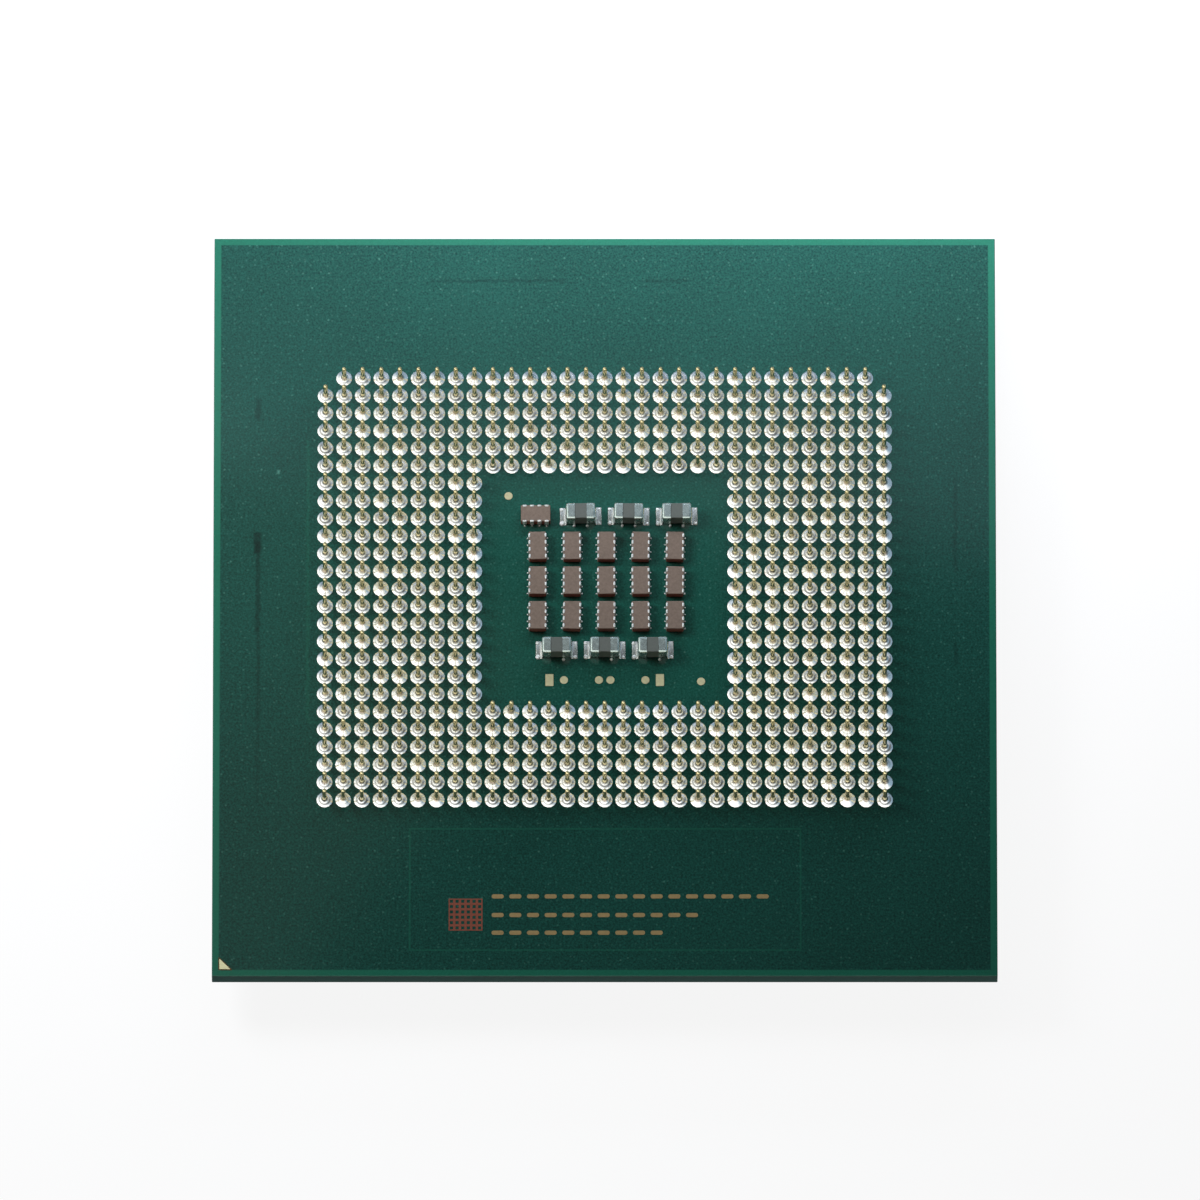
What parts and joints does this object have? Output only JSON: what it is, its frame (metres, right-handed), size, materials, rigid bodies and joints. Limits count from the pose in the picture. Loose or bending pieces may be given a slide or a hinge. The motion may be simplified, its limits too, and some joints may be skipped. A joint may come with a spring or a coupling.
{
  "type": "pin grid array processor package",
  "caption": "Square green laminate chip package with a grid of gold contact pins on solder joints, small capacitors in a central bay, and a flat metal heat spreader underneath.",
  "frame": {"origin": "centre of the heat spreader's outer face, on which the package lies", "axes": "+Z out along the pins, +Y towards the board edge nearer to the pin field, +X to the right seen from the pin side"},
  "size_m": [0.0534, 0.0534, 0.0059],
  "materials": {
    "solder_mask": "satin",
    "gold_plating": "polished",
    "solder": "gloss",
    "tin_plating": "satin",
    "brown_ceramic": "matte",
    "grey_ceramic": "matte",
    "pad_gold": "satin",
    "nickel_plating": "satin",
    "sealant": "matte",
    "thermal_paste": "matte",
    "silicon": "polished",
    "resin": "satin"
  },
  "bodies": {
    "root": {"substrate": "solder_mask", "contact_pins": "gold_plating", "pin_solder": "solder", "array_capacitor_1": "brown_ceramic", "array_capacitor_2": "brown_ceramic", "array_capacitor_3": "brown_ceramic", "array_capacitor_4": "brown_ceramic", "array_capacitor_5": "brown_ceramic", "array_capacitor_6": "brown_ceramic", "array_capacitor_7": "brown_ceramic", "array_capacitor_8": "brown_ceramic", "array_capacitor_9": "brown_ceramic", "array_capacitor_10": "brown_ceramic", "array_capacitor_11": "brown_ceramic", "array_capacitor_12": "brown_ceramic", "array_capacitor_13": "brown_ceramic", "array_capacitor_14": "brown_ceramic", "array_capacitor_15": "brown_ceramic", "array_capacitor_16": "brown_ceramic", "array_terminals_1": "tin_plating", "array_terminals_2": "tin_plating", "array_terminals_3": "tin_plating", "array_terminals_4": "tin_plating", "array_terminals_5": "tin_plating", "array_terminals_6": "tin_plating", "array_terminals_7": "tin_plating", "array_terminals_8": "tin_plating", "array_terminals_9": "tin_plating", "array_terminals_10": "tin_plating", "array_terminals_11": "tin_plating", "array_terminals_12": "tin_plating", "array_terminals_13": "tin_plating", "array_terminals_14": "tin_plating", "array_terminals_15": "tin_plating", "array_terminals_16": "tin_plating", "array_solder": "solder", "chip_capacitor_1": "grey_ceramic", "chip_capacitor_2": "grey_ceramic", "chip_capacitor_3": "grey_ceramic", "chip_capacitor_4": "grey_ceramic", "chip_capacitor_5": "grey_ceramic", "chip_capacitor_6": "grey_ceramic", "chip_end_caps_1": "tin_plating", "chip_end_caps_2": "tin_plating", "chip_end_caps_3": "tin_plating", "chip_end_caps_4": "tin_plating", "chip_end_caps_5": "tin_plating", "chip_end_caps_6": "tin_plating", "chip_solder": "solder", "test_pads": "pad_gold", "corner_mark": "pad_gold", "heat_spreader": "nickel_plating", "lid_sealant": "sealant", "thermal_interface": "thermal_paste", "silicon_die": "silicon", "underfill": "resin"}
  },
  "joints": []
}
